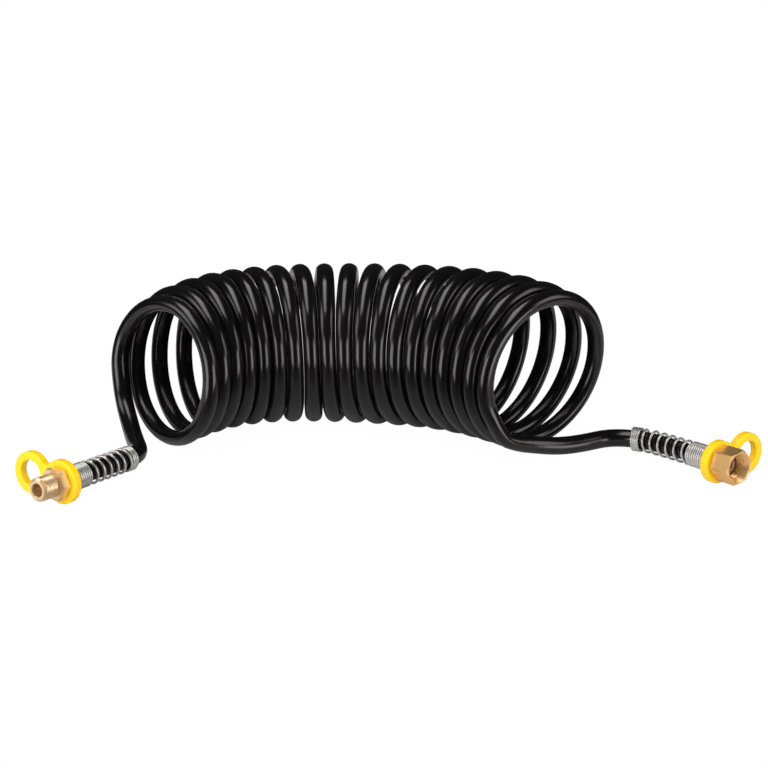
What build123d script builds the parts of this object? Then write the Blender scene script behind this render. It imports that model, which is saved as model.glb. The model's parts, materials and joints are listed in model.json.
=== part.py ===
"""Coiled air hose for a truck and trailer line: a black nylon hose wound into a
springy coil, with a brass fitting, an anti-kink spring and a marker ring at each end.

Units are millimetres, +Z is up and Z = 0 is the surface that the hose lies on.
The coil lies along X. Its two ends come forward, towards -Y: the male fitting on
the left (-X) and the female fitting on the right (+X).
"""
from build123d import *
import math
import os

# ---------------------------------------------------------------- driving sizes
# Hose: nylon tube, 12 mm outside and 9 mm inside
hose_od = 12.0
hose_id = 9.0
hose_sides = 6              # the hose is a faceted cord in this model

# Coil: turns are counted from the first crest (0) to the last crest (18)
coil_start = -0.25
coil_end = 18.3
middle_turn = 9.0
loop_radius = 55.3          # hose centre line, in the middle of the coil
loop_growth = 2.7           # how much wider the loops are at the female end
crest_gap = 6.33            # between neighbouring turns, along the axis at mid coil
span_easing = 0.158         # how much the turns close up along X towards the ends
bow_depth = 76.0            # how far the ends of the coil come forward of its middle
bow_skew = -21.0            # how much further forward the female end lies
bow_twist = 12.0
heading_middle = -8.2       # degrees: which way the loops face
heading_swing = -47.5
lean_middle = 1.3           # degrees: how far the loops tip along the axis
lean_ends = -8.2
end_tuck = 1.4              # how much tighter the loop at each end is wound
end_draw = 1.0              # how far that loop is drawn in along X
female_turn_back = 2.5      # degrees: the last loop faces forward by this much more

# End fittings: the ring centre is where each fitting's own frame has its origin
male_ring_centre = (-190.4, -166.0)
female_ring_centre = (253.9, -131.7)
male_heading = -123.5       # degrees in plan, the way the fitting points
female_heading = -56.5
fitting_tilt = 4.8          # degrees: the marker ring props the fitting up

# Brass parts
hex_back = 3.3              # from the ring centre to the back of the hexagon
male_hex_af = 20.0
male_hex_length = 6.0
male_reach = 23.0           # from the ring centre to the tip
male_thread_d = 16.0        # M16 x 1.5
male_groove_d = 13.6
male_groove_width = 2.4
male_bore_d = 9.0
male_bore_depth = 12.0
male_tip_chamfer = 0.8
nut_af = 22.0
nut_length = 15.5
nut_thread_d = 16.0         # M16 x 1.5
thread_pitch = 1.5
nut_wall = 2.2              # back wall that pulls on the stem's collar
nut_mouth_d = 20.5          # wide entry chamfer
relief_depth = 0.2          # run-out behind the thread, where the stem's collar turns
nut_turn = 8.0              # degrees: how the hexagon happens to stand
stem_neck_d = 10.6
stem_collar_length = 2.4
stem_lip_d = 10.2           # spigot that the seat seal sits round
stem_lip_length = 1.8
stem_bore_d = 8.6
seal_thickness = 1.6
tail_bore_d = 6.4
barb_length = 18.0
barb_count = 2
barb_depth = 0.5
hose_end_depth = 19.0       # how far the hose is opened out for the barbs
swivel_clearance = 0.3
fit_clearance = 0.1
groove_step = 0.8           # taper from the thread groove up to the thread
cut_past = 1.0              # how far a cut runs past the face that it opens
flat_up = 30.0              # degrees: turns a hexagon from a corner to a flat upwards
hex_chamfer = 0.6
nut_chamfer = 0.2
chamfer_slope = 25.0        # degrees: of the corners that are turned off a hexagon

# Crimp sleeve, spring and marker ring
sleeve_wall = 1.0
sleeve_length = 21.0
wire_d = 1.8
wire_sides = 3
close_pitch = 2.3           # turns that lie side by side
mouth_pitch = 2.9           # the last turns, where the hose starts to bend
close_turns_fitting = 4.0
open_turns = 6.0
close_turns_hose = 2.0
male_spring_reach = 66.5    # length of the whole spring along the hose
female_spring_reach = 73.7
ring_od = 30.0
ring_thickness = 6.0
ring_eye_distance = 27.5
ring_waist_fillet = 4.0
ring_eye_d = 18.4
ring_clearance = 0.25

# Free hose between fittings and coil: hand-laid points, from the fitting inwards
male_mouth = 76.0           # from the ring centre to the first corner
female_mouth = 50.0
male_lay = [(-157.0, -77.0, 9.0), (-164.0, -56.0, 15.0), (-170.0, -42.0, 27.0)]
female_lay = [(212.0, -75.0, 9.3), (191.5, -67.5, 7.6), (171.0, -76.5, 6.0), (151.5, -83.0, 6.2),
              (132.5, -90.5, 11.0), (117.0, -100.5, 19.0), (107.5, -109.0, 23.0)]
coil_lead = 9.0             # straight hose beyond each end of the coil
arc_share = 0.45            # of the shorter run that an arc may use up

# ------------------------------------------------------------- worked-out sizes
hose_r = hose_od / 2
mid_pitch = hose_od + crest_gap
half_span = middle_turn * mid_pitch
sleeve_id = hose_od + fit_clearance
sleeve_od = sleeve_id + 2 * sleeve_wall
spring_id = sleeve_od + fit_clearance
spring_od = spring_id + 2 * wire_d
spring_r = (spring_id + wire_d) / 2
ring_bore_d = spring_od + 2 * ring_clearance
barb_d = hose_id + 2 * barb_depth - fit_clearance
hose_end_bore = hose_id + 2 * barb_depth
thread_depth = 0.54 * thread_pitch
nut_bore_d = nut_thread_d - 2 * thread_depth
stem_collar_d = nut_bore_d - 2 * swivel_clearance
neck_hole_d = stem_neck_d + 2 * swivel_clearance
relief_d = nut_thread_d + 2 * relief_depth
relief_length = swivel_clearance + stem_collar_length + stem_lip_length
seal_id = stem_lip_d + 2 * fit_clearance
tilt = math.radians(fitting_tilt)
ring_centre_z = ring_od / 2 * math.cos(tilt) + ring_thickness / 2 * math.sin(tilt)


# ------------------------------------------------------------------ small tools
def turned(points):
    """A solid of revolution about Z from (radius, height) points."""
    return revolve(Plane.XZ * make_face(Polyline(*points, close=True)), Axis.Z)


def hexagon(across_flats, low, high, turn, chamfer):
    """A hexagonal prism whose front corners are turned to a chamfer."""
    flat = across_flats / 2
    blank = extrude(Plane.XY.offset(low) * RegularPolygon(flat, 6, False, turn), high - low)
    rim = flat - chamfer
    outside = across_flats / math.sqrt(3) + cut_past
    drop = (outside - rim) * math.tan(math.radians(chamfer_slope))
    cone = turned([(0, low), (outside, low), (outside, high - drop), (rim, high), (0, high)])
    return blank & cone


def biarc(start, start_way, end, end_way):
    """Two tangent arcs from one point and direction to another."""
    gap = end - start
    ways = start_way + end_way
    spread = 2 * (1 - start_way.dot(end_way))
    along = gap.dot(ways)
    if spread < 1e-6:
        reach = gap.dot(gap) / (2 * along)
    else:
        reach = (-along + math.sqrt(along * along + spread * gap.dot(gap))) / spread
    meet = (start + end + (start_way - end_way) * reach) * 0.5
    meet_way = (end - end_way * reach - start - start_way * reach).normalized()
    return [Edge.make_tangent_arc(start, start_way, meet), Edge.make_tangent_arc(meet, meet_way, end)]


def way_at(curve, at, step=1e-3):
    """Unit direction of a curve given as a function of one number."""
    return (curve(at + step) - curve(at - step)).normalized()


def wound_path(curve, first, last, straight):
    """A wire along a wound curve in biarcs of up to half a turn, with straight ends."""
    halves = range(math.floor(2 * first) + 1, math.ceil(2 * last))
    ats = [first] + [half / 2 for half in halves] + [last]
    points = [curve(at) for at in ats]
    ways = [way_at(curve, at) for at in ats]
    lead_in = points[0] - ways[0] * straight
    lead_out = points[-1] + ways[-1] * straight
    edges = [Edge.make_line(lead_in, points[0])]
    for i in range(len(ats) - 1):
        edges += biarc(points[i], ways[i], points[i + 1], ways[i + 1])
    edges.append(Edge.make_line(points[-1], lead_out))
    return Wire(edges), lead_in, ways[0], lead_out, ways[-1]


def swept(section_radius, sides, path, start, way):
    """A faceted cord along a path."""
    side = Vector(0, 0, 1).cross(way)
    if side.length < 0.1:
        side = Vector(1, 0, 0).cross(way)
    section = Plane(start, x_dir=side, z_dir=way) * RegularPolygon(section_radius, sides)
    return Solid.sweep(section.face(), path)


def least_gap(curve, first, last, thickness, per_turn=72):
    """Least clear distance between neighbouring turns, measured on points."""
    count = int((last - first) * per_turn)
    points = [curve(first + i / per_turn) for i in range(count + 1)]
    least = 1e9
    for i, point in enumerate(points):
        for j in range(i + int(0.8 * per_turn), min(i + int(1.25 * per_turn), count + 1)):
            least = min(least, (points[j] - point).length)
    return least - thickness


# -------------------------------------------------------------------- hose coil
def coil_point(turn):
    """Hose centre line in the coil, where a whole number is the crest of a loop."""
    s = (turn - middle_turn) / middle_turn
    end = s**8
    heading = math.radians(heading_middle + heading_swing * s + (female_turn_back * end if s > 0 else 0))
    lean = math.radians(lean_middle + lean_ends * s * s)
    radius = loop_radius + loop_growth * s - end_tuck * end
    front = Vector(math.sin(heading), -math.cos(heading), 0)
    crest = Vector(-math.sin(lean) * math.cos(heading), -math.sin(lean) * math.sin(heading), math.cos(lean))
    centre = Vector(half_span * (s - span_easing * s**3) - end_draw * end * s,
                    bow_skew * s - bow_depth * s**2 + bow_twist * s**3,
                    hose_r + radius * math.cos(lean))
    angle = 2 * math.pi * turn
    return centre + front * (radius * math.sin(angle)) + crest * (radius * math.cos(angle))


coil_path, coil_in, coil_in_way, coil_out, coil_out_way = wound_path(
    coil_point, coil_start, coil_end, hose_od)
hose_coil = swept(hose_r, hose_sides, coil_path, coil_in, coil_in_way)


# ------------------------------------------------- end frames and the free hose
def end_plane(centre, heading):
    """A fitting's own frame: origin in the ring, +Z out of the hose, +Y nearly up."""
    way = math.radians(heading)
    out = Vector(math.cos(way) * math.cos(tilt), math.sin(way) * math.cos(tilt), math.sin(tilt))
    return Plane((centre[0], centre[1], ring_centre_z), x_dir=(-out.Y, out.X, 0), z_dir=out)


def free_hose(plane, hose_end, mouth, lay, coil_tip, coil_way):
    """Path of a free stretch from the fitting to the coil, with its points and arc radii."""
    points = [plane.from_local_coords(Vector(0, 0, hose_end)),
              plane.from_local_coords(Vector(0, 0, -mouth))]
    points += [Vector(*point) for point in lay]
    points += [coil_tip + coil_way * coil_lead, coil_tip]
    radii = []
    for before, corner, after in zip(points, points[1:], points[2:]):
        half_turn = math.radians((corner - before).get_angle(after - corner)) / 2
        run = min((corner - before).length, (after - corner).length)
        radii.append(arc_share * run / math.tan(half_turn))
    return FilletPolyline(*points, radius=radii), points, radii


def hose_tail(plane, hose_end, path):
    """A free stretch as a solid, opened out at the fitting for the barbed tail."""
    section = Plane(path @ 0, x_dir=plane.x_dir, z_dir=path % 0) * RegularPolygon(hose_r, hose_sides)
    cord = Solid.sweep(section.face(), Wire(path.edges()))
    opened = Pos(0, 0, hose_end - hose_end_depth) * Cylinder(
        hose_end_bore / 2, hose_end_depth + cut_past, align=(Align.CENTER, Align.CENTER, Align.MIN))
    return cord - plane * opened


male = end_plane(male_ring_centre, male_heading)
female = end_plane(female_ring_centre, female_heading)
male_hose_end = hex_back
female_hose_end = hex_back - swivel_clearance
male_path, male_points, male_radii = free_hose(
    male, male_hose_end, male_mouth, male_lay, coil_in, -coil_in_way)
female_path, female_points, female_radii = free_hose(
    female, female_hose_end, female_mouth, female_lay, coil_out, coil_out_way)
hose_male_end = hose_tail(male, male_hose_end, male_path)
hose_female_end = hose_tail(female, female_hose_end, female_path)


# ----------------------------------------------------------- anti-kink springs
spring_turns = close_turns_fitting + open_turns + close_turns_hose


def spring_curve(path, start, reach):
    """Centre line of the wire, wound round the hose from the fitting backwards."""
    open_pitch = (reach - close_turns_fitting * close_pitch - close_turns_hose * mouth_pitch) / open_turns
    spring_lengths = [(close_turns_fitting, close_pitch), (open_turns, open_pitch), (close_turns_hose, mouth_pitch)]

    def point(turn):
        along = start
        left = turn
        for turns, pitch in spring_lengths:
            step = min(left, turns) if left > 0 else left
            along += step * pitch
            left -= step
        centre = path.position_at(along, position_mode=PositionMode.LENGTH)
        way = path.tangent_at(along, position_mode=PositionMode.LENGTH)
        side = Vector(0, 0, 1).cross(way).normalized()
        top = way.cross(side)
        angle = 2 * math.pi * turn
        return centre + side * (spring_r * math.cos(angle)) + top * (spring_r * math.sin(angle))
    return point


def anti_kink_spring(path, hose_end, reach):
    """Spring wire from behind the hexagon to the mouth of the free hose."""
    curve = spring_curve(path, hose_end - hex_back + wire_d, reach)
    wire, start, way, _, _ = wound_path(curve, 0.0, spring_turns, wire_d)
    return swept(wire_d / 2, wire_sides, wire, start, way), curve


male_spring, male_spring_curve = anti_kink_spring(male_path, male_hose_end, male_spring_reach)
female_spring, female_spring_curve = anti_kink_spring(female_path, female_hose_end, female_spring_reach)


# -------------------------------------------------------- sleeves, rings, brass
def crimp_sleeve(front):
    """Thin sleeve pressed over the hose end."""
    back = front - sleeve_length
    return turned([(sleeve_id / 2, back), (sleeve_od / 2, back), (sleeve_od / 2, front), (sleeve_id / 2, front)])


def marker_ring():
    """Figure-eight ring: one eye round the spring, one free eye at +X to hook up the hose end."""
    half = ring_eye_distance / 2
    rise = math.sqrt((ring_od / 2 + ring_waist_fillet) ** 2 - half**2)
    eyes = Locations((0, 0), (ring_eye_distance, 0))
    waist = Polygon((0, 0), (half, -rise), (ring_eye_distance, 0), (half, rise), align=None)
    hollows = [place * Circle(ring_waist_fillet) for place in Locations((half, rise), (half, -rise))]
    outline = waist - hollows + [place * Circle(ring_od / 2) for place in eyes]
    plate = extrude(Pos(0, 0, -ring_thickness / 2) * outline, ring_thickness)
    eye = Cylinder(ring_bore_d / 2, ring_thickness * 2)
    free_eye = Pos(ring_eye_distance, 0) * Cylinder(ring_eye_d / 2, ring_thickness * 2)
    return plate - eye - free_eye


def barbed_tail(front):
    """Outline points of the barbs, from the tip forward to the shoulder."""
    back = front - barb_length
    pitch = barb_length / (barb_count + 1)
    root = hose_id / 2 - 0.1
    points = [(tail_bore_d / 2, back), (root, back)]
    for i in range(barb_count):
        points += [(barb_d / 2, back + pitch * (i + 0.9)), (root, back + pitch * (i + 1))]
    return points + [(root, front)]


def male_nipple():
    """Hexagon, thread barrel and barbed tail in one piece of brass, bored through."""
    hex_front = hex_back + male_hex_length
    groove_end = hex_front + male_groove_width
    thread_r = male_thread_d / 2
    body = turned(barbed_tail(hex_back) + [
        (male_groove_d / 2, hex_back), (male_groove_d / 2, groove_end - groove_step), (thread_r, groove_end),
        (thread_r, male_reach - male_tip_chamfer), (thread_r - male_tip_chamfer, male_reach),
        (male_bore_d / 2, male_reach), (male_bore_d / 2, male_reach - male_bore_depth),
        (tail_bore_d / 2, male_reach - male_bore_depth - (male_bore_d - tail_bore_d) / 2)])
    head = hexagon(male_hex_af, hex_back, hex_front, flat_up, hex_chamfer)
    return body + (head - Cylinder(male_groove_d / 2 - cut_past, 3 * hex_front))


def female_stem():
    """Stem that the nut swivels on: barbed tail, neck, collar and seal spigot."""
    collar_back = hex_back + nut_wall + swivel_clearance
    collar_front = collar_back + stem_collar_length
    tip = collar_front + stem_lip_length
    step = collar_back
    return turned(barbed_tail(female_hose_end) + [
        (stem_neck_d / 2, female_hose_end), (stem_neck_d / 2, collar_back), (stem_collar_d / 2, collar_back),
        (stem_collar_d / 2, collar_front), (stem_lip_d / 2, collar_front), (stem_lip_d / 2, tip),
        (stem_bore_d / 2, tip), (stem_bore_d / 2, step),
        (tail_bore_d / 2, step - (stem_bore_d - tail_bore_d) / 2)])


def seat_seal():
    """Flat rubber washer on the collar's face, round the spigot."""
    seat = hex_back + nut_wall + swivel_clearance + stem_collar_length
    return turned([(seal_id / 2, seat), (stem_collar_d / 2, seat), (stem_collar_d / 2, seat + seal_thickness),
                   (seal_id / 2, seat + seal_thickness)])


def swivel_nut():
    """Long hexagon nut with an inside thread and a back wall behind the stem's collar."""
    front = hex_back + nut_length
    entry = (nut_mouth_d - nut_bore_d) / 2
    relief_back = hex_back + nut_wall
    relief_front = relief_back + relief_length
    low = hex_back - cut_past
    high = front + cut_past
    hole = turned([(0, low), (neck_hole_d / 2, low), (neck_hole_d / 2, relief_back),
                   (relief_d / 2, relief_back), (relief_d / 2, relief_front),
                   (nut_bore_d / 2, relief_front), (nut_bore_d / 2, front - entry),
                   (nut_mouth_d / 2, front), (nut_mouth_d / 2, high), (0, high)])
    return hexagon(nut_af, hex_back, front, flat_up + nut_turn, nut_chamfer) - hole


# --------------------------------------------------------------- put it together
pieces = {
    "hose_coil": hose_coil,
    "hose_male_end": hose_male_end,
    "male_nipple": male * male_nipple(),
    "male_crimp_sleeve": male * crimp_sleeve(male_hose_end),
    "male_spring": male_spring,
    "male_marker_ring": male * Rot(0, 0, 180) * marker_ring(),
    "hose_female_end": hose_female_end,
    "female_stem": female * female_stem(),
    "female_swivel_nut": female * swivel_nut(),
    "female_seat_seal": female * seat_seal(),
    "female_crimp_sleeve": female * crimp_sleeve(female_hose_end),
    "female_spring": female_spring,
    "female_marker_ring": female * marker_ring(),
}
box = Compound(list(pieces.values())).bounding_box()
shift = Vector(-(box.min.X + box.max.X) / 2, -(box.min.Y + box.max.Y) / 2, 0)

os.makedirs("parts", exist_ok=True)
for name, piece in pieces.items():
    export_step(Pos(shift) * piece, f"parts/{name}.step")


# ------------------------------------------------------------------- what it is
def show(name, vector):
    print(name, [round(value, 3) for value in (vector.X, vector.Y, vector.Z)])


print("size", [round(value, 2) for value in (box.size.X, box.size.Y, box.size.Z)], "floor", round(box.min.Z, 3))
show("shift", shift)
for name, plane in (("male", male), ("female", female)):
    show(name + " ring centre", plane.origin + shift)
    show(name + " way out", plane.z_dir)
    show(name + " across", plane.x_dir)
for name, points, radii in (("male", male_points, male_radii), ("female", female_points, female_radii)):
    print(name, "tail arc radii", [round(radius, 1) for radius in radii],
          "runs", [round((b - a).length, 1) for a, b in zip(points, points[1:])])
section_area = hose_sides / 2 * hose_r**2 * math.sin(2 * math.pi / hose_sides)
for name, path in (("hose_coil", coil_path), ("hose_male_end", male_path), ("hose_female_end", female_path)):
    print(name, "length", round(path.length, 1), "volume", round(pieces[name].volume),
          "section x length", round(section_area * path.length), "valid", pieces[name].is_valid)
print("hose coil self-gap", round(least_gap(coil_point, coil_start, coil_end, hose_od), 2))
print("male spring self-gap", round(least_gap(male_spring_curve, 0, spring_turns, wire_d, 24), 2))
print("female spring self-gap", round(least_gap(female_spring_curve, 0, spring_turns, wire_d, 24), 2))
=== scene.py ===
# %% [markdown]
# # A coiled air hose
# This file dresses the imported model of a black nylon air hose: 19 springy turns, a brass
# fitting at each end, an anti-kink spring behind each fitting and a yellow marker ring.
# The first step is always the frame. It holds every solid at its real size and place, and
# all that follows is measured from it, so nothing has to be fitted by eye.

# %% Load the frame
import json
import math
import bmesh
import bpy
from mathutils import Matrix, Vector, kdtree


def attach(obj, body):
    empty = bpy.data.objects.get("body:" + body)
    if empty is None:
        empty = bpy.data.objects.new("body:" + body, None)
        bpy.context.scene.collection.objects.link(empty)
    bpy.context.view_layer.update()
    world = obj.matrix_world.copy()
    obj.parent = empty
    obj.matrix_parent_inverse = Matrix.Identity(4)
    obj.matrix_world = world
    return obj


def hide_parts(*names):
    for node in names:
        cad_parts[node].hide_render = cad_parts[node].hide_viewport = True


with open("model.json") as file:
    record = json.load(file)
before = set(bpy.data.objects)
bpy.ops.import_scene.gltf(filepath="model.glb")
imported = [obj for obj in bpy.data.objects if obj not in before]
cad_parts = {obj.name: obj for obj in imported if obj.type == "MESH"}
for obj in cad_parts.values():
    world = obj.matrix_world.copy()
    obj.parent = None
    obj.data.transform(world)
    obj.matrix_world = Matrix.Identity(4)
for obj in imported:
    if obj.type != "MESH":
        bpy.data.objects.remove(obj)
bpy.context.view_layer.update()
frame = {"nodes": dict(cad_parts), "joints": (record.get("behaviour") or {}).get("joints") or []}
joints = {joint["name"]: joint for joint in frame["joints"]}
mm = 0.001

# %% [markdown]
# ## Two fittings, two local frames
# Both ends of the hose are built the same way, so each gets a local frame: the origin in the
# middle of its marker ring, Z pointing out of the hose, and X level. A piece can then be
# drawn once, upright at the origin, and set down at either end with one matrix. The joints of
# the two rings already hold the origin and the axis, which is why they are read from there.

# %% Local frames from the ring joints
def end_frame(joint_name):
    """A matrix that carries upright things at the origin to a fitting."""
    joint = joints[joint_name]
    out = Vector(joint["axis"]).normalized()
    level = Vector((-out.y, out.x, 0)).normalized()
    rotation = Matrix((level, out.cross(level), out)).transposed().to_4x4()
    return Matrix.Translation(joint["pos_m"]) @ rotation


male = end_frame("male_ring_turn")
female = end_frame("female_ring_turn")
print("male fitting at", male.translation, "female fitting at", female.translation)

# %% [markdown]
# ## The camera
# Something this wide is best shown from a metre away and a little above, with a moderate
# telephoto lens so that the near fittings don't swell. The lens shift slides the view without
# turning the camera, as the rising front of a studio camera does.

# %% Place the camera
camera_data = bpy.data.cameras.new("camera")
camera_data.lens = 60.33
camera_data.sensor_width = 36.0
camera_data.shift_x = 0.0449
camera_data.shift_y = -0.0497
camera = bpy.data.objects.new("camera", camera_data)
bpy.context.scene.collection.objects.link(camera)
bpy.context.scene.camera = camera
camera_rise, camera_distance = math.radians(17.59), 1.0
aim = Vector((-31.75, 63.65, 57.0)) * mm
towards_camera = Vector((0, -math.cos(camera_rise), math.sin(camera_rise)))
camera.location = aim + towards_camera * camera_distance
camera.rotation_euler = (math.pi / 2 - camera_rise, 0, 0)
print("camera at", camera.location)

# %% [markdown]
# ## Shader maths that reads as maths
# A material is a graph, and graphs are tedious to type. A small class wraps a socket and
# overloads the operators, so `1 - mask * 0.3` adds the right Math nodes by itself. It could
# also be done with node groups, but an expression is easier to read and to change.

# %% The socket wrapper
class Signal:
    """An output socket that can be added, multiplied and so on."""

    def __init__(self, graph, socket):
        self.graph = graph
        self.socket = socket

    def maths(self, operation, first, second):
        return self.graph.node("ShaderNodeMath", {"operation": operation}, {0: first, 1: second})

    def __add__(self, other):
        return self.maths("ADD", self, other)

    def __radd__(self, other):
        return self.maths("ADD", other, self)

    def __sub__(self, other):
        return self.maths("SUBTRACT", self, other)

    def __rsub__(self, other):
        return self.maths("SUBTRACT", other, self)

    def __mul__(self, other):
        return self.maths("MULTIPLY", self, other)

    def __rmul__(self, other):
        return self.maths("MULTIPLY", other, self)

    def __truediv__(self, other):
        return self.maths("DIVIDE", self, other)

    def __pow__(self, other):
        return self.maths("POWER", self, other)


print("socket wrapper ready")

# %% [markdown]
# ## One way to make any node
# Every other node comes from a single method that takes its type, its settings and its inputs.
# An input may be a plain value or a signal, and the method finds out which. Materials and the
# world both have such a graph. A material adds short names for the nodes it needs most, all of
# them in object coordinates, so the same point of a piece always gets the same texture.

# %% The graph and the material maker
class Graph:
    """A node tree whose nodes are all made by one method."""

    def __init__(self, tree):
        self.tree = tree

    def fill(self, socket, value):
        """Link a signal to a socket, or write a plain value into it."""
        if isinstance(value, Signal):
            self.tree.links.new(value.socket, socket)
        else:
            socket.default_value = value

    def node(self, kind, settings=None, inputs=None, output=0):
        """Make a node: its settings come first, then its inputs by name or number."""
        made = self.tree.nodes.new(kind)
        for name, value in (settings or {}).items():
            if name == "stops":
                ramp = made.color_ramp
                while len(ramp.elements) < len(value):
                    ramp.elements.new(1.0)
                for element, (place, colour) in zip(ramp.elements, value):
                    element.position = place
                    element.color = colour
            else:
                setattr(made, name, value)
        for name, value in (inputs or {}).items():
            self.fill(made.inputs[name], value)
        return Signal(self, made.outputs[output])

    def split(self, vector):
        """The x, y and z of a vector, as three signals."""
        made = self.node("ShaderNodeSeparateXYZ", {}, {"Vector": vector})
        return [Signal(self, socket) for socket in made.socket.node.outputs]


class Finish(Graph):
    """One material, with short names for the nodes that it uses most."""

    def __init__(self, name):
        self.material = bpy.data.materials.new(name)
        self.material.use_nodes = True
        super().__init__(self.material.node_tree)
        self.shader = self.tree.nodes["Principled BSDF"]
        self.surface = self.tree.nodes["Material Output"].inputs["Surface"]

    def place(self):
        return self.node("ShaderNodeTexCoord", output="Object")

    def noise(self, scale, detail):
        """Cloudy variation from 0 to 1; the larger the scale, the finer it is."""
        return self.node("ShaderNodeTexNoise", {},
                         {"Vector": self.place(), "Scale": scale, "Detail": detail})

    def ramp(self, signal, stops):
        return self.node("ShaderNodeValToRGB", {"stops": stops}, {"Fac": signal})

    def mix(self, share, first, second):
        """Blend two colours; this node keeps its colour sockets at 6, 7 and output 2."""
        return self.node("ShaderNodeMix", {"data_type": "RGBA"},
                         {"Factor": share, 6: first, 7: second}, output=2)

    def bump(self, height, strength, distance):
        return self.node("ShaderNodeBump", {},
                         {"Height": height, "Strength": strength, "Distance": distance})

    def set(self, **sockets):
        """Fill the shader's sockets, with _ for the spaces in their names."""
        for name, value in sockets.items():
            self.fill(self.shader.inputs[name.replace("_", " ")], value)
        return self


print("material maker ready")

# %% [markdown]
# ## Black nylon hose
# The tube is extruded polyamide: deep black, half glossy, with a skin that is almost but not
# quite smooth. A mirror-smooth black would show the lamps as hard shapes and look wet, so the
# roughness varies a little over a few centimetres, where hands and dust have been, and a very
# fine bump breaks the edge of each highlight. Only neutral, dark colours are mixed.

# %% Hose finish
def hose_nylon():
    finish = Finish("hose_nylon")
    handled = finish.noise(22.0, 4.0)
    grain = finish.noise(900.0, 2.0)
    waves = finish.noise(160.0, 1.0)
    black = finish.mix(handled, (0.0016, 0.0016, 0.0018, 1), (0.0036, 0.0036, 0.004, 1))
    return finish.set(
        Base_Color=black,
        Roughness=0.14 + 0.10 * handled,
        Normal=finish.bump(grain * 0.4 + waves, 0.10, 0.0003),
    ).material


nylon = hose_nylon()
print("made", nylon.name)

# %% [markdown]
# ## The hose itself
# The whole hose is one tube, so it gets one centre line: a NURBS spline of order 3, which needs
# few points and never kinks. The coil is a helix whose axis bows forward at both ends. Each of
# its 24 points a turn comes from one formula, in millimetres, that slowly changes which way a
# turn faces, how far it leans back, how wide it is and where its middle lies. Since the spline
# runs just inside its control points, the loops are drawn slightly large to end up right.

# %% Sizes of the hose and its coil
hose_radius = 6.0 * mm
middle_turn = 9.0
first_turn, last_turn = -0.2, 18.3
points_a_turn = 24
half_span = 163.8
loop_radius, loop_growth, end_shrink = 55.7, 2.2, 2.7
loop_gain = 1 / (0.5 + 0.5 * math.cos(math.pi / points_a_turn) ** 2)
ring_home = Vector((-190.4, -166.0, 0)) * mm
lay_shift = Vector((male.translation.x, male.translation.y, 0)) - ring_home


def coil_point(turn):
    """Centre of the hose in the coil; a whole number is the crest of a turn."""
    s = (turn - middle_turn) / middle_turn    # -1 at the male end, 1 at the female end
    end = s**8                                # close to 0 except in the last turns
    heading = math.radians(-6.4 - 58 * s + 27.6 * s**3 - 31.8 * s**5 + 10.8 * s**9)
    lean = math.radians(0.5 + 2.6 * s - 6.2 * s * s)
    radius = loop_radius + loop_growth * s - end_shrink * end
    front = Vector((math.sin(heading), -math.cos(heading), 0))
    crest = Vector((-math.sin(lean) * math.cos(heading), -math.sin(lean) * math.sin(heading),
                    math.cos(lean)))
    spread = half_span * (s + 0.012 * s**2 - 0.175 * s**3 + 0.02 * s**5) - end * s - 0.4
    bow = -7.1 - 17 * s - 33 * s**2 + 11 * s**3 - 62 * s**4 + 34 * s**6
    centre = Vector((spread, bow, hose_radius / mm + radius * math.cos(lean)))
    angle = 2 * math.pi * turn
    drawn = radius * loop_gain
    point = centre + front * (drawn * math.sin(angle)) + crest * (drawn * math.cos(angle))
    return point * mm + lay_shift


print("loops are drawn", round(loop_gain, 4), "times their size")

# %% [markdown]
# ## Laying the free ends
# Each end leaves its fitting along the fitting's own axis, held straight by the spring, comes
# down to the floor and sweeps up into the coil. A few points are enough, because the spline
# rounds what lies between them. They are in millimetres and were laid out with the male ring at
# ring_home, so one shift brings them and the coil to where the ring stands in the frame.

# %% The free ends, from each fitting inwards
hose_end = 3.3 * mm
female_hose_end = hose_end - 0.3 * mm
male_mouth, female_mouth = 76.0 * mm, 50.0 * mm
bend_before_mouth = 22 * mm
male_lay = [(-157, -77, 9), (-164, -56, 15), (-170, -41, 27), (-172.7, -34, 43), (-173.3, -31, 57)]
female_lay = [(212, -75, 9.3), (191.5, -67.5, 7.6), (171, -76.5, 6.5), (151.5, -83, 6.6),
              (132.5, -90.5, 11), (117, -99, 16), (107.8, -102.5, 21)]


def laid(points):
    """Points of the lay, brought into the frame."""
    return [Vector(point) * mm + lay_shift for point in points]


def along(fitting, distance):
    """A point on a fitting's axis, counted outwards from its ring."""
    return fitting @ Vector((0, 0, distance))


count = round((last_turn - first_turn) * points_a_turn)
turns = [first_turn + (last_turn - first_turn) * i / count for i in range(count + 1)]
route = [along(male, hose_end), along(male, bend_before_mouth - male_mouth), along(male, -male_mouth)]
route += laid(male_lay)
route += [coil_point(turn) for turn in turns]
route += reversed(laid(female_lay))
route += [along(female, -female_mouth), along(female, female_hose_end)]
print("the route has", len(route), "points")

# %% [markdown]
# ## Reading the centre line
# The springs wind around the hose, and the hose's own mesh follows it, so both need points that
# lie on the smooth line itself. Blender works them out: a curve without thickness turns into a
# mesh of points, which are read and thrown away again. Their distances give the hose's length.

# %% Read the centre line
def centre_line(points, steps):
    """The line of a NURBS spline through the route, read from the curve itself."""
    curve = bpy.data.curves.new("route", "CURVE")
    curve.dimensions = "3D"
    curve.resolution_u = steps
    spline = curve.splines.new("NURBS")
    spline.points.add(len(points) - 1)
    for target, point in zip(spline.points, points):
        target.co = (*point, 1.0)
    spline.order_u = 3
    spline.use_endpoint_u = True
    holder = bpy.data.objects.new("route", curve)
    mesh = bpy.data.meshes.new_from_object(holder)
    line = [vertex.co.copy() for vertex in mesh.vertices]
    bpy.data.meshes.remove(mesh)
    bpy.data.objects.remove(holder)
    bpy.data.curves.remove(curve)
    return line


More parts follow.
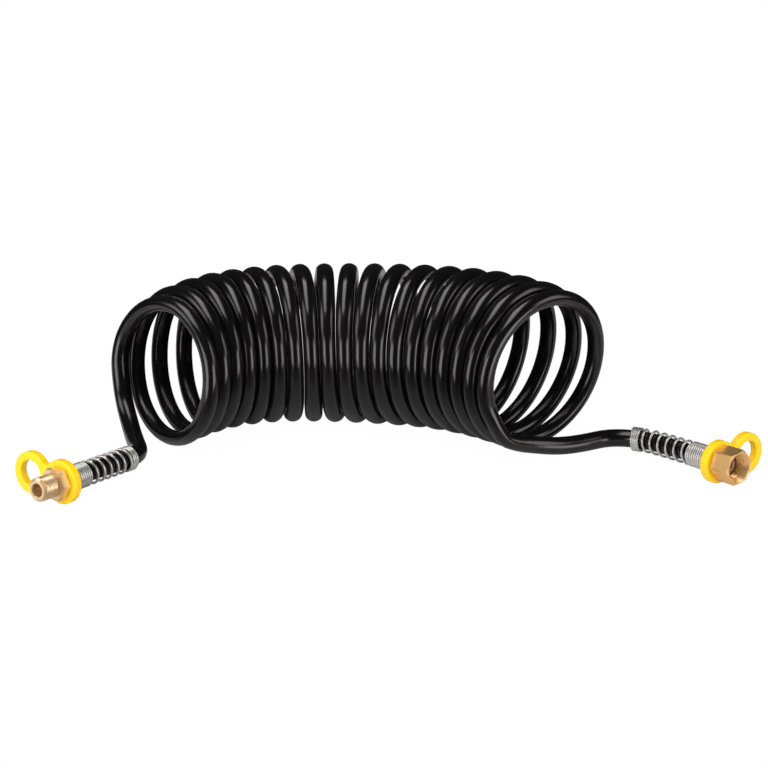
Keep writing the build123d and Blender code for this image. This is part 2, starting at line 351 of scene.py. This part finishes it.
def distances(line):
    """Distance of every point from the first, along the line."""
    total = [0.0]
    for a, b in zip(line, line[1:]):
        total.append(total[-1] + (b - a).length)
    return total


line_steps = 4
hose_line = centre_line(route, line_steps)
hose_distance = distances(hose_line)
hose_length = hose_distance[-1]
print("hose length", round(hose_length, 3), "m, in", len(hose_line), "points")

# %% [markdown]
# ## A tube that is flattened by its coil
# Nylon tube that has been wound tight and heat-set is no longer round: it bulges sideways and
# gets thinner towards the middle of the loop, as any bent tube does. That is why the turns of
# a real coil touch although they are wound more than a diameter apart. A curve's bevel can't do
# this, so the tube is a mesh: a ring of points at each step of the line. The width follows the
# distance to the nearest neighbouring turn, so turns touch but never cut into each other.

# %% How wide the hose is at each point
widest, slack = 13.3 * mm, 0.1 * mm
look_around = widest + 4 * mm
fade_from, fade_to = 85 * mm, 150 * mm
quarter = points_a_turn * line_steps // 4

near = kdtree.KDTree(len(hose_line))
for index, point in enumerate(hose_line):
    near.insert(point, index)
near.balance()


def smooth(value, low, high):
    """A soft step from 0 to 1 between low and high."""
    share = min(max((value - low) / (high - low), 0.0), 1.0)
    return share * share * (3 - 2 * share)


def from_end(index):
    """Distance along the hose from its nearer end."""
    return min(hose_distance[index], hose_length - hose_distance[index])


def in_coil(index):
    """0 in the free ends, 1 in the coil, with a soft step between."""
    return smooth(from_end(index), fade_from, fade_to)


def width_at(index):
    """Width across the turns: up to the widest, but no further than the next turn."""
    free = [distance for _, other, distance in near.find_range(hose_line[index], look_around)
            if abs(other - index) > 2 * quarter]
    wide = min(widest, min(free, default=widest) - slack)
    return 2 * hose_radius + (wide - 2 * hose_radius) * in_coil(index)


print("width in the middle of the coil", round(width_at(len(hose_line) // 2) / mm, 2), "mm")

# %% [markdown]
# ## Drawing the hose
# A ring of points stands at each step of the line, and is carried along without twisting. It is
# widened across the loop, towards the next turns, and thinned inwards, to the loop's middle.
# That middle needs no formula: it is halfway between the points a quarter turn back and a
# quarter turn on. Inside the springs the hose is drawn a little fuller, as it fills them well.

# %% Draw the hose
thinning = 0.6
swell, sleeve_end, swell_over = 0.08, 24 * mm, 8 * mm
crisp = math.radians(30)


def fullness(index):
    """How much fuller the hose is: 1 in the sleeves and the coil, more in the springs."""
    past_sleeve = smooth(from_end(index), sleeve_end, sleeve_end + swell_over)
    return 1 + swell * past_sleeve * (1 - in_coil(index))


def tube(line, sides):
    """Rings along a line, each squeezed towards the loop's middle and widened across it."""
    grid = bmesh.new()
    last = len(line) - 1
    loops = []
    side = Vector((0, 0, 1)).cross(line[1] - line[0]).normalized()
    for i, point in enumerate(line):
        way = (line[min(i + 1, last)] - line[max(i - 1, 0)]).normalized()
        side = (side - way * side.dot(way)).normalized()
        up = way.cross(side)
        inwards = (line[min(i + quarter, last)] + line[max(i - quarter, 0)]) / 2 - point
        inwards = (inwards - way * inwards.dot(way)).normalized()
        across = way.cross(inwards)
        wider = width_at(i) / (2 * hose_radius)
        thinner = 1 - thinning * (wider - 1)
        fuller = fullness(i)
        loop = []
        for k in range(sides):
            angle = 2 * math.pi * k / sides
            arm = (side * math.cos(angle) + up * math.sin(angle)) * hose_radius
            arm = (across * (arm.dot(across) * wider) + inwards * (arm.dot(inwards) * thinner)) * fuller
            loop.append(grid.verts.new(point + arm))
        loops.append(loop)
    for lower, upper in zip(loops, loops[1:]):
        for k in range(sides):
            grid.faces.new((lower[k], lower[(k + 1) % sides], upper[(k + 1) % sides], upper[k]))
    for loop, middle in ((loops[0], line[0]), (loops[-1], line[-1])):
        tip = grid.verts.new(middle)
        for k in range(sides):
            grid.faces.new((loop[k], loop[(k + 1) % sides], tip))
    bmesh.ops.recalc_face_normals(grid, faces=grid.faces)
    return grid


def shown(name, mesh_data, fitting, finish, body, replaced):
    """Put a mesh into the scene at a fitting and say what it is and what it rides on."""
    mesh = bpy.data.meshes.new(name)
    mesh_data.to_mesh(mesh)
    mesh_data.free()
    mesh.transform(fitting)
    mesh.shade_smooth()
    mesh.set_sharp_from_angle(angle=crisp)
    mesh.materials.append(finish)
    piece = bpy.data.objects.new(name, mesh)
    bpy.context.scene.collection.objects.link(piece)
    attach(piece, body)
    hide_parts(*replaced)
    print(name, "has", len(mesh.polygons), "faces")
    return piece


hose = shown("hose_tube", tube(hose_line, sides=24), Matrix(), nylon, "hose",
             ["hose_coil", "hose_male_end", "hose_female_end"])

# %% [markdown]
# ## Zinc-plated spring wire
# Bright zinc is a cool grey metal with soft, slightly streaky reflections. Its base colour is
# fairly light, a touch of it is left without metal so that it also takes plain light, and the
# cloudy roughness keeps each turn of the wire from shining in the same way.

# %% Spring finish
def zinc_wire():
    finish = Finish("zinc_wire")
    cloud = finish.noise(260.0, 4.0)
    streak = finish.noise(1400.0, 2.0)
    return finish.set(
        Base_Color=finish.mix(cloud, (0.55, 0.58, 0.55, 1), (0.74, 0.75, 0.70, 1)),
        Metallic=0.86,
        Roughness=0.26 + 0.16 * cloud,
        Normal=finish.bump(streak, 0.1, 0.0001),
    ).material


zinc = zinc_wire()
print("made", zinc.name)

# %% [markdown]
# ## The anti-kink springs
# Behind each fitting the hose runs through a spring, so that it can't fold over at its most
# loaded point. The wire lies turn against turn over the fitting and at the mouth, and is
# stretched open between. The spring follows the hose: each point of the wire is a distance
# along the hose's own centre line plus an angle around it.

# %% Wind the springs
wire = 1.8 * mm
spring_radius = 8.05 * mm
close_pitch = wire * 1.01
spring_start = 1.4 * mm
open_turns = 6.0
steps_a_turn = 28
first_stretch = 400    # points of the fine line, more than a spring covers
fine_steps = 12


def walk_along(line):
    """A function that gives a point and direction at a distance along a line of points."""
    total = distances(line)

    def at(distance):
        i = next(k for k in range(1, len(total)) if total[k] >= distance or k == len(total) - 1)
        share = (distance - total[i - 1]) / (total[i] - total[i - 1])
        before = line[max(i - 2, 0)].lerp(line[max(i - 1, 0)], share)
        after = line[min(i, len(line) - 1)].lerp(line[min(i + 1, len(line) - 1)], share)
        return line[i - 1].lerp(line[i], share), (after - before).normalized()
    return at


def wind_spring(name, line, reach, close_front, close_back, start_angle, replaced):
    """A round wire: close turns on the fitting, open turns, and close turns at the mouth."""
    walk = walk_along(line[:first_stretch])
    open_pitch = (reach - close_pitch * (close_front + close_back)) / open_turns
    points = []
    for i in range(round((close_front + open_turns + close_back) * steps_a_turn) + 1):
        turn = i / steps_a_turn
        front = min(turn, close_front)
        middle = min(max(turn - close_front, 0), open_turns)
        back = max(turn - close_front - open_turns, 0)
        centre, way = walk(spring_start + (front + back) * close_pitch + middle * open_pitch)
        side = Vector((0, 0, 1)).cross(way).normalized()
        top = way.cross(side)
        angle = start_angle + 2 * math.pi * turn
        aside, above = spring_radius * math.cos(angle), spring_radius * math.sin(angle)
        points.append(centre + side * aside + top * above)
    curve = bpy.data.curves.new(name, "CURVE")
    curve.dimensions = "3D"
    curve.bevel_depth = wire / 2
    curve.bevel_resolution = 4
    curve.use_fill_caps = True
    spline = curve.splines.new("POLY")
    spline.points.add(len(points) - 1)
    for target, point in zip(spline.points, points):
        target.co = (*point, 1.0)
    spring = bpy.data.objects.new(name, curve)
    bpy.context.scene.collection.objects.link(spring)
    curve.materials.append(zinc)
    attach(spring, "hose")
    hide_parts(replaced)
    print(name, "has an open pitch of", round(open_pitch / mm, 2), "mm")
    return spring


fine_line = centre_line(route, fine_steps)
male_spring = wind_spring("anti_kink_spring_male", fine_line, reach=66.5 * mm, close_front=11.5,
                          close_back=3.3, start_angle=0.6, replaced="male_spring")
female_spring = wind_spring("anti_kink_spring_female", fine_line[::-1], reach=76.0 * mm, close_front=13.3,
                            close_back=3.8, start_angle=2.0, replaced="female_spring")

# %% [markdown]
# ## Yellow marker rings
# The two moulded rings tell the driver which line is which, and their free eye parks the
# fitting. They are plain coloured plastic with a soft shine, so the colour hardly varies and
# the detail is in the skin: a faint mottle in the gloss and a very fine moulded grain.

# %% Ring finish
def ring_yellow():
    finish = Finish("ring_yellow")
    mottle = finish.noise(90.0, 3.0)
    grain = finish.noise(1500.0, 2.0)
    return finish.set(
        Base_Color=finish.mix(mottle, (0.93, 0.60, 0.001, 1), (0.97, 0.65, 0.002, 1)),
        Roughness=0.38 + 0.1 * mottle,
        Normal=finish.bump(grain, 0.15, 0.0001),
    ).material


yellow = ring_yellow()
print("made", yellow.name)

# %% [markdown]
# ## The shape of a marker ring
# Each ring is a flat figure eight with softly rounded edges. Its outline is four arcs: the two
# eyes, and the small waist arcs that touch both. A bevel modifier could round the edges, but
# moving the outline inwards while it rises gives the same rounding with an even mesh, and the
# two holes are treated alike.

# %% Shape of a marker ring
ring_radius, ring_thickness = 15.0 * mm, 6.0 * mm
eye_distance = 27.5 * mm
spring_eye, free_eye = 9.2 * mm, 9.2 * mm
waist_fillet = 4.0 * mm
edge_round, edge_steps = 1.1 * mm, 5
outer_steps, waist_steps, hole_steps = 64, 12, 72


def arc(centre, radius, start, end, steps):
    """Points of an arc in a plane, with both of its ends."""
    angles = [start + (end - start) * i / steps for i in range(steps + 1)]
    return [(centre[0] + radius * math.cos(a), centre[1] + radius * math.sin(a)) for a in angles]


def eight_outline(inset):
    """Figure-eight outline, moved inwards by inset, as points in order."""
    outer = ring_radius - inset
    waist = waist_fillet + inset
    half = eye_distance / 2
    rise = math.sqrt((outer + waist) ** 2 - half**2)
    touch = math.atan2(rise, half)
    points = arc((0, 0), outer, touch, 2 * math.pi - touch, outer_steps)
    points += arc((half, -rise), waist, math.pi - touch, touch, waist_steps)[1:-1]
    points += arc((eye_distance, 0), outer, touch - math.pi, math.pi - touch, outer_steps)
    points += arc((half, rise), waist, -touch, touch - math.pi, waist_steps)[1:-1]
    return points


def hole_outline(centre_x, radius):
    return arc((centre_x, 0), radius, 0, 2 * math.pi, hole_steps)[:-1]


def edge_profile():
    """(inset, height) pairs that round both edges of the plate."""
    middle = (edge_round, edge_round - ring_thickness / 2)
    lower = arc(middle, edge_round, -math.pi / 2, -math.pi, edge_steps)
    return lower + [(inset, -height) for inset, height in reversed(lower)]


def marker_ring(side):
    """The whole ring; side 1 or -1 puts the free eye to the right or to the left."""
    grid = bmesh.new()
    walls = []
    for outline in (eight_outline, lambda inset: hole_outline(0, spring_eye + inset),
                    lambda inset: hole_outline(eye_distance, free_eye + inset)):
        loops = []
        for inset, height in edge_profile():
            loops.append([grid.verts.new((side * x, y, height)) for x, y in outline(inset)])
        for lower, upper in zip(loops, loops[1:]):
            for i in range(len(lower)):
                j = (i + 1) % len(lower)
                grid.faces.new((lower[i], lower[j], upper[j], upper[i]))
        walls.append(loops)
    for level in (0, -1):
        edges = []
        for loops in walls:
            loop = loops[level]
            edges += [grid.edges.get((loop[i], loop[(i + 1) % len(loop)])) for i in range(len(loop))]
        bmesh.ops.triangle_fill(grid, edges=edges, use_beauty=True)
    bmesh.ops.recalc_face_normals(grid, faces=grid.faces)
    return grid


male_ring = shown("marker_ring_male", marker_ring(-1), male, yellow, "male_ring",
                  ["male_marker_ring"])
female_ring = shown("marker_ring_female", marker_ring(1), female, yellow, "female_ring",
                    ["female_marker_ring"])

# %% [markdown]
# ## Turned brass
# Fresh machined brass is pale gold, and what makes it read as brass is the tooling: very fine
# rings on faces cut in the lathe, and straight lengthwise lines on hexagons, which are left as
# the bar was drawn. Both are the same texture, a noise stretched hard in one direction, and
# only the direction differs. The stretching is done in the fitting's own frame, so the lines
# follow the part and not the room.

# %% Brass finishes
ring_fineness = 9000.0
line_fineness, line_stretch = 5200.0, 90.0
pale, gold = (0.94, 0.74, 0.47, 1), (0.80, 0.56, 0.28, 1)
bar_bright, bar_deep = (0.92, 0.62, 0.28, 1), (0.74, 0.44, 0.14, 1)


def brass(name, fitting, lines, bright, deep, rough, strength):
    """Brass with tool lines: 'around' the axis or 'along' it."""
    finish = Finish(name)
    turn = fitting.to_3x3().inverted().to_euler("XYZ")
    shift = fitting.inverted().translation
    own = finish.node("ShaderNodeMapping", {},
                      {"Vector": finish.place(), "Rotation": turn, "Location": shift})
    x, y, z = finish.split(own)
    if lines == "around":
        radius = (x * x + y * y) ** 0.5
        spot = {"X": radius * ring_fineness, "Y": z * ring_fineness, "Z": 0.0}
    else:
        spot = {"X": x * line_fineness, "Y": y * line_fineness, "Z": z * line_stretch}
    grain_at = finish.node("ShaderNodeCombineXYZ", {}, spot)
    grain = finish.node("ShaderNodeTexNoise", {}, {"Vector": grain_at, "Scale": 1.0, "Detail": 2.0})
    cloud = finish.noise(120.0, 3.0)
    shade = 0.65 * cloud + 0.35 * grain
    return finish.set(
        Base_Color=finish.mix(shade, deep, bright),
        Metallic=0.82,
        Roughness=rough + 0.12 * grain,
        Normal=finish.bump(grain, strength, 0.00005),
    ).material


turned_brass_male = brass("turned_brass_male", male, "around", pale, gold, rough=0.27, strength=0.25)
turned_brass_female = brass("turned_brass_female", female, "around", pale, gold, rough=0.27, strength=0.25)
drawn_brass = brass("drawn_brass_nut", female, "along", bar_bright, bar_deep, rough=0.28, strength=0.6)
print("made", turned_brass_male.name, turned_brass_female.name, drawn_brass.name)

# %% [markdown]
# ## Building small turned parts
# Fittings come off a lathe, so most of their surfaces are rings of points about one axis. A
# helper takes a list of rings and joins neighbours with quads, and the last ring joins the
# first, so that the bore is part of the same closed skin. A ring's radius may also depend on
# the angle. That single idea covers plain cylinders, hexagons and threads, where a boolean of
# several solids would leave a ragged mesh.

# %% Mesh helpers
def turned(rings, steps):
    """Join rings of (radius, height), where a radius may be a function of the angle."""
    grid = bmesh.new()
    loops = []
    for radius, height in rings:
        loop = []
        for i in range(steps):
            angle = 2 * math.pi * i / steps
            r = radius(angle) if callable(radius) else radius
            loop.append(grid.verts.new((r * math.cos(angle), r * math.sin(angle), height)))
        loops.append(loop)
    loops.append(loops[0])
    for lower, upper in zip(loops, loops[1:]):
        for i in range(steps):
            j = (i + 1) % steps
            grid.faces.new((lower[i], lower[j], upper[j], upper[i]))
    bmesh.ops.recalc_face_normals(grid, faces=grid.faces)
    return grid


def hexagon(across_flats, turn):
    """Radius of a hexagon as a function of the angle."""
    def radius(angle):
        away = (angle - turn + math.pi / 6) % (math.pi / 3) - math.pi / 6
        return across_flats / 2 / math.cos(away)
    return radius


def capped(shape, limit):
    """A radius function that is turned down to a limit."""
    return lambda angle: min(shape(angle), limit)


print("mesh helpers ready")

# %% [markdown]
# ## The male nipple
# One bar of brass makes the hexagon, the threaded barrel and the barbed tail that the hose is
# pushed over. The hexagon is cut back at its ends by the lathe's chamfer, which gives the
# curved corners every nut has. The thread is a helix: its radius depends on the angle and the
# height together, and it fades out at both ends, as a cut thread does.

# %% Sizes and shapes of the male end
hex_back = 3.3 * mm
male_hex_af, male_hex_length = 20.0 * mm, 6.0 * mm
male_reach = 23.0 * mm
male_thread_radius, groove_radius = 8.0 * mm, 6.8 * mm
pitch, thread_flat, thread_fade = 1.5 * mm, 0.14, 0.7
male_thread_depth = 0.3025 * mm
male_bore, tail_bore = 4.5 * mm, 3.2 * mm
barb_length, barb_count = 18.0 * mm, 4
barb_tip, barb_root, barb_crest = 4.3 * mm, 4.4 * mm, 4.92 * mm
barb_rise, barb_drop = 0.88, 0.92
male_back_flat = 7.2 * mm
chamfer_slope, chamfer_steps = 0.58, 6


def thread_at(height, crest, depth, lead_in, run_out):
    """Radius of a thread at a height, fading out at both of its ends."""
    inside = min(height - lead_in, run_out - height)
    fade = min(max(inside / (pitch * thread_fade), 0.0), 1.0)

    def radius(angle):
        phase = (height / pitch - angle / (2 * math.pi)) % 1.0
        wave = abs(phase - 0.5) * 2
        profile = min(max((wave - thread_flat) / (1 - 2 * thread_flat), 0.0), 1.0)
        return crest - depth * (1 - profile) * fade
    return radius


def hexagon_rings(shape, corner, low, high, chamfer_low, chamfer_high):
    """Rings of a hexagon that is turned down to a chamfer at its low and high ends."""
    shares = [i / chamfer_steps for i in range(chamfer_steps + 1)]
    rings = [(capped(shape, corner - chamfer_low * (1 - share)), low + chamfer_low * chamfer_slope * share)
             for share in shares]
    rings += [(capped(shape, corner - chamfer_high * share),
               high - chamfer_high * chamfer_slope * (1 - share)) for share in shares]
    return rings


def barbs(front):
    """The tail, from its tip to the front: a saw tooth that the hose can't slide back over."""
    back = front - barb_length
    step = barb_length / (barb_count + 1)
    rings = [(tail_bore, back), (barb_tip, back)]
    for i in range(barb_count):
        rings += [(barb_crest, back + step * (i + barb_rise)), (barb_root, back + step * (i + barb_drop))]
    return rings + [(barb_root, front)]


print("barbs", round(barb_length / (barb_count + 1) / mm, 1), "mm apart, thread pitch", pitch / mm, "mm")

# %% [markdown]
# ## Cutting the nipple
# The rings are listed in the order in which a finger would run over the piece: up the outside
# from the tail, over the hexagon, through the groove and the thread, round the tip, and back
# down the bore. The bore narrows to the tail's, since the hose has to fit over that end.

# %% Build the male nipple
def male_nipple():
    corner = male_hex_af / math.sqrt(3)
    shape = hexagon(male_hex_af, math.radians(30))
    hex_front = hex_back + male_hex_length
    thread_start, thread_end = hex_front + 2.4 * mm, male_reach - 2.2 * mm
    thread_levels = 64
    crest = male_thread_radius
    rings = barbs(hex_back) + [(male_back_flat, hex_back)]
    rings += hexagon_rings(shape, corner, hex_back, hex_front, 0.4 * mm, 0.9 * mm)
    rings += [(groove_radius + 0.3 * mm, hex_front), (groove_radius, hex_front + 0.3 * mm),
              (groove_radius, thread_start - 0.7 * mm), (crest - 0.35 * mm, thread_start)]
    for i in range(thread_levels + 1):
        height = thread_start + (thread_end - thread_start) * i / thread_levels
        rings.append((thread_at(height, crest - 0.02 * mm, male_thread_depth, thread_start, thread_end),
                      height))
    rings += [(crest - 0.1 * mm, thread_end + 0.2 * mm), (crest - 0.75 * mm, thread_end + 0.55 * mm),
              (crest - 0.75 * mm, thread_end + 0.9 * mm), (crest - 0.25 * mm, thread_end + 1.1 * mm),
              (crest - 0.25 * mm, male_reach - 0.9 * mm), (crest - 1.5 * mm, male_reach),
              (male_bore + 0.5 * mm, male_reach), (male_bore, male_reach - 0.5 * mm),
              (male_bore, male_reach - 12 * mm), (tail_bore, male_reach - 13.3 * mm)]
    return turned(rings, steps=144)


nipple = shown("male_nipple_dressed", male_nipple(), male, turned_brass_male, "hose",
               ["male_nipple"])

# %% [markdown]
# ## The swivel nut
# The nut is a long hexagon that spins on the stem, so the hose doesn't twist while it is
# tightened. Its mouth is a wide cone that guides the mating thread in, and the fine thread
# starts behind it. Behind the thread is a wider space for the stem's collar, closed by a thin
# wall with a hole for the stem's neck.

# %% Build the swivel nut
nut_af, nut_length = 22.0 * mm, 15.5 * mm
nut_turn = math.radians(38)
nut_mouth, nut_thread_radius = 10.25 * mm, 8.0 * mm
nut_minor, nut_thread_depth = nut_thread_radius - 0.81 * mm, 0.7 * mm
neck_hole, nut_back_flat = 5.6 * mm, 9.8 * mm
relief_radius = nut_thread_radius + 0.2 * mm
relief_back, relief_front = hex_back + 2.2 * mm, hex_back + 6.7 * mm


def swivel_nut():
    corner = nut_af / math.sqrt(3)
    shape = hexagon(nut_af, nut_turn)
    front = hex_back + nut_length
    thread_front = front - (nut_mouth - nut_minor)
    thread_levels = 84
    rings = [(neck_hole, hex_back), (nut_back_flat, hex_back)]
    rings += hexagon_rings(shape, corner, hex_back, front, 0.7 * mm, 1.5 * mm)
    rings += [(nut_mouth + 0.15 * mm, front), (nut_mouth - 0.1 * mm, front - 0.12 * mm)]
    for i in range(thread_levels + 1):
        height = thread_front - (thread_front - relief_front) * i / thread_levels
        rings.append((thread_at(height, nut_minor + nut_thread_depth, nut_thread_depth,
                                relief_front - pitch, thread_front + pitch * 0.2), height))
    rings += [(relief_radius, relief_front - 0.01 * mm), (relief_radius, relief_back),
              (neck_hole, relief_back)]
    return turned(rings, steps=144)


nut = shown("swivel_nut_dressed", swivel_nut(), female, drawn_brass, "swivel_nut",
            ["female_swivel_nut"])

# %% [markdown]
# ## The stem inside the nut
# Something that stays still has to hold the nut. The stem's collar is wider than the hole in
# the nut's back wall, so it takes the pull when the thread is tightened, and the nut can still
# turn. A short lip in front of the collar centres the washer. Behind the nut the stem ends in
# the same barbed tail as the male nipple.

# %% Build the stem
collar_back = relief_back + 0.3 * mm
collar_front = collar_back + 2.4 * mm
neck, lip, lip_length, stem_bore = 5.3 * mm, 5.1 * mm, 1.8 * mm, 4.3 * mm


def female_stem():
    back = hex_back - 0.3 * mm
    collar = nut_minor - 0.3 * mm
    tip = collar_front + lip_length
    rings = barbs(back)
    rings += [(neck, back), (neck, collar_back), (collar - 0.2 * mm, collar_back),
              (collar, collar_back + 0.2 * mm), (collar, collar_front - 0.2 * mm),
              (collar - 0.2 * mm, collar_front), (neck, collar_front),
              (lip, collar_front + 0.15 * mm), (lip, tip - 0.25 * mm), (lip - 0.2 * mm, tip),
              (stem_bore + 0.2 * mm, tip), (stem_bore, tip - 0.3 * mm), (stem_bore, collar_back),
              (tail_bore, collar_back - 1.1 * mm)]
    return turned(rings, steps=96)


stem = shown("female_stem_dressed", female_stem(), female, turned_brass_female, "hose",
             ["female_stem"])

# %% [markdown]
# ## Rubber washer and crimped sleeves
# These are hardly seen, but a part that is opened, turned or cut away should still show them.
# The sleeves' solids already have the right shape, so they only get a finish. The washer is
# soft, so it gets a piece of its own with rounded corners, in a dull brown rubber.

# %% Finish the hidden pieces
def seal_rubber():
    finish = Finish("seal_rubber")
    bloom = finish.noise(300.0, 3.0)
    return finish.set(
        Base_Color=finish.mix(bloom, (0.17, 0.08, 0.035, 1), (0.24, 0.125, 0.06, 1)),
        Roughness=0.55 + 0.2 * bloom,
    ).material


def seat_washer():
    """A flat ring on the collar's face, with its four corners rounded."""
    inner, outer, thick, corner = 5.35 * mm, nut_minor - 0.35 * mm, 1.6 * mm, 0.35 * mm
    low, high = collar_front + corner, collar_front + thick - corner
    quarter_turn, steps = math.pi / 2, 5
    rings = arc((outer - corner, low), corner, -quarter_turn, 0, steps)
    rings += arc((outer - corner, high), corner, 0, quarter_turn, steps)
    rings += arc((inner + corner, high), corner, quarter_turn, 2 * quarter_turn, steps)
    rings += arc((inner + corner, low), corner, 2 * quarter_turn, 3 * quarter_turn, steps)
    return turned(rings, steps=72)


washer = shown("seat_washer_dressed", seat_washer(), female, seal_rubber(), "hose",
               ["female_seat_seal"])
for node, metal in (("male_crimp_sleeve", turned_brass_male), ("female_crimp_sleeve", turned_brass_female)):
    sleeve = frame["nodes"][node]
    sleeve.data.materials.clear()
    sleeve.data.materials.append(metal)
    print(node, "is finished in", metal.name)

# %% [markdown]
# The hose is a free cord: it has a real length, it starts at the male fitting and it ends in
# the other one.

print("the hose is declared as", round(hose_length, 2), "m of cord")

# %% [markdown]
# ## A table that each kind of ray sees differently
# The part is shown cut out on white, yet gloss black shows nothing but what stands around it.
# So the table has three looks. The camera sees white light, with just enough of the real
# surface mixed in to keep the shadow. Plain light falls on a pale, matt grey. Mirror rays see a
# painted shade and a painted pool of light: the table's colour for them is dark in front of the
# coil and pale behind it, along a line that bows as the coil does, which keeps the front of each
# turn black and still lets its back edge shine.

# %% Table
table_pale, white_share, white_strength = (0.86, 0.86, 0.86, 1), 0.96, 1.02
white_light = (1, 1, 1, 1)
painted_pool_width = 0.4
bow_middle, bow_place, bow_slope, bow_bend = -0.032, 0.0087, 0.127, 2.79


def pale_table():
    finish = Finish("pale_table")
    direct = finish.node("ShaderNodeLightPath", output="Is Camera Ray")
    mirrored = finish.node("ShaderNodeLightPath", output="Is Glossy Ray")
    through = finish.node("ShaderNodeLightPath", output="Is Transmission Ray")
    x, y, _ = finish.split(finish.place())
    off = x - bow_middle
    bow = bow_place - bow_slope * off - bow_bend * off * off
    # Painted shade and painted light for mirror rays only: dark in front of the coil's bow line, pale
    # behind it.
    painted_light_pool = finish.ramp((y - bow + painted_pool_width / 2) / painted_pool_width,
                       [(0.1, (0.03, 0.03, 0.03, 1)), (0.3, (0.14, 0.14, 0.14, 1)),
                        (0.52, (0.65, 0.65, 0.65, 1))])
    finish.set(Base_Color=finish.mix(mirrored, table_pale, painted_light_pool), Roughness=0.9, Specular_IOR_Level=0.1)
    surface = Signal(finish, finish.shader.outputs[0])
    glow = finish.node("ShaderNodeEmission", {}, {"Color": white_light, "Strength": white_strength})
    share = white_share * direct + white_share * through
    finish.fill(finish.surface, finish.node("ShaderNodeMixShader", {}, {0: share, 1: surface, 2: glow}))
    return finish.material


table_mesh = bpy.data.meshes.new("table")
left, right, front, back = -0.55, 0.55, -0.17, 0.75
corners = [(left, front, 0), (right, front, 0), (right, back, 0), (left, back, 0)]
table_mesh.from_pydata(corners, [], [(0, 1, 2, 3)])
table_mesh.materials.append(pale_table())
table = bpy.data.objects.new("table", table_mesh)
table.location.z = -0.2 * mm
bpy.context.scene.collection.objects.link(table)
print("the table is", right - left, "by", back - front, "m")

# %% [markdown]
# ## Lamps for a black, glossy tube
# A long box of light above gives each crown a broad band, and a high and a low box at each side
# draw the long lines down every turn. The world is almost dark, so that the tube stays black
# between these lines, but the camera sees it white. One last lamp in front is left out of
# mirror rays. It adds plain light, so that the plastic and the brass show their colour.

# %% World and lamps
world = bpy.data.worlds.new("studio")
bpy.context.scene.world = world
world.use_nodes = True
studio = Graph(world.node_tree)
sky = world.node_tree.nodes["Background"]
studio.fill(sky.inputs["Color"], white_light)
studio.fill(sky.inputs["Strength"], 0.03)
dim = Signal(studio, sky.outputs[0])
bright = studio.node("ShaderNodeBackground", {}, {"Color": white_light, "Strength": 1.0})
seen = studio.node("ShaderNodeLightPath", output="Is Camera Ray")
either = studio.node("ShaderNodeMixShader", {}, {0: seen, 1: dim, 2: bright})
studio.fill(world.node_tree.nodes["World Output"].inputs["Surface"], either)
middle = Vector((0, 0.02, 0.06))
warm = (1.0, 0.91, 0.93)


def soft_box(name, place, width, height, power, colour=(1, 1, 1), mirrored=True):
    """A rectangular lamp that points at the middle of the hose."""
    lamp_data = bpy.data.lights.new(name, "AREA")
    lamp_data.shape = "RECTANGLE"
    lamp_data.size = width
    lamp_data.size_y = height
    lamp_data.energy = power
    lamp_data.color = colour
    lamp = bpy.data.objects.new(name, lamp_data)
    lamp.location = place
    lamp.rotation_euler = (middle - Vector(place)).to_track_quat("-Z", "Y").to_euler()
    lamp.visible_glossy = mirrored
    bpy.context.scene.collection.objects.link(lamp)
    print(name, "gives", power, "W")


soft_box("top_box", (-0.3, 0.06, 1.25), 1.25, 0.52, 8.3, warm)
soft_box("left_box_high", (-1.29, -0.27, 0.76), 0.7, 0.8, 4.7, warm)
soft_box("right_box_high", (1.29, -0.27, 0.76), 0.7, 0.8, 4.7, warm)
soft_box("left_box_low", (-1.04, -0.94, 0.01), 0.8, 0.95, 10.5, warm)
soft_box("right_box_low", (1.04, -0.94, 0.01), 0.8, 0.95, 10.5, warm)
soft_box("front_fill", (-0.3, -1.6, 1.5), 1.6, 1.6, 33, mirrored=False)
bpy.context.scene.view_settings.view_transform = "Standard"
